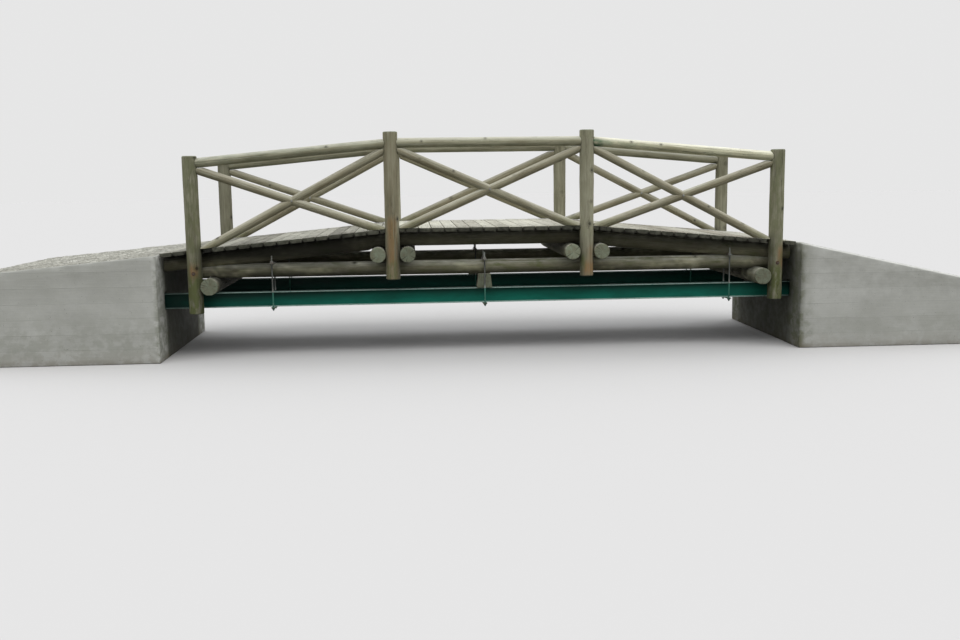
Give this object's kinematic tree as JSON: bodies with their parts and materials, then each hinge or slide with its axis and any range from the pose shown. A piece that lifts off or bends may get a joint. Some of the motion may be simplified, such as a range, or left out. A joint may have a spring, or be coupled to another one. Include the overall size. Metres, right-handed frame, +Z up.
{
  "type": "wooden footbridge",
  "caption": "Cambered footbridge of round timber with crossed-brace railings and a boarded deck, carried by logs and green steel beams between concrete abutments.",
  "frame": {"origin": "centre of the bounding box at the base of the abutments", "axes": "+X along the bridge, to the right as seen from the near railing; +Y across it, away from that railing; +Z up"},
  "size_m": [11.8, 2.6, 2.625],
  "materials": {
    "post_timber": "weathered round pine with cracks, knots and brown and green stains",
    "rail_timber": "weathered round pine, paler on top",
    "brace_timber": "weathered round pine, greyer than the posts",
    "deck_boards": "bleached softwood boards",
    "log_timber": "weathered round pine with pale green sawn ends",
    "green_steel": "satin paint, worn pale at the edges",
    "galvanised_steel": "dull galvanised",
    "concrete": "cast concrete with board marks and stains"
  },
  "bodies": {
    "root": {"post_near_1": "post_timber", "post_near_2": "post_timber", "post_near_3": "post_timber", "post_near_4": "post_timber", "post_far_1": "post_timber", "post_far_2": "post_timber", "post_far_3": "post_timber", "post_far_4": "post_timber", "rail_near_left": "rail_timber", "rail_near_mid": "rail_timber", "rail_near_right": "rail_timber", "rail_far_left": "rail_timber", "rail_far_mid": "rail_timber", "rail_far_right": "rail_timber", "braces_near_left": "brace_timber", "braces_near_mid": "brace_timber", "braces_near_right": "brace_timber", "braces_far_left": "brace_timber", "braces_far_mid": "brace_timber", "braces_far_right": "brace_timber", "deck_left": "deck_boards", "deck_mid": "deck_boards", "deck_right": "deck_boards", "stringer_near_left": "log_timber", "stringer_near_mid": "log_timber", "stringer_near_right": "log_timber", "stringer_far_left": "log_timber", "stringer_far_mid": "log_timber", "stringer_far_right": "log_timber", "lower_log_near": "log_timber", "lower_log_far": "log_timber", "cross_log_left_end": "log_timber", "cross_logs_left_post": "log_timber", "cross_logs_right_post": "log_timber", "cross_log_right_end": "log_timber", "steel_beam_near": "green_steel", "steel_beam_far": "green_steel", "log_clamps_near": "galvanised_steel", "log_clamps_far": "galvanised_steel", "mid_span_blocks": "log_timber", "left_abutment": "concrete", "right_abutment": "concrete", "left_approach": "concrete", "right_approach": "concrete"}
  },
  "joints": []
}
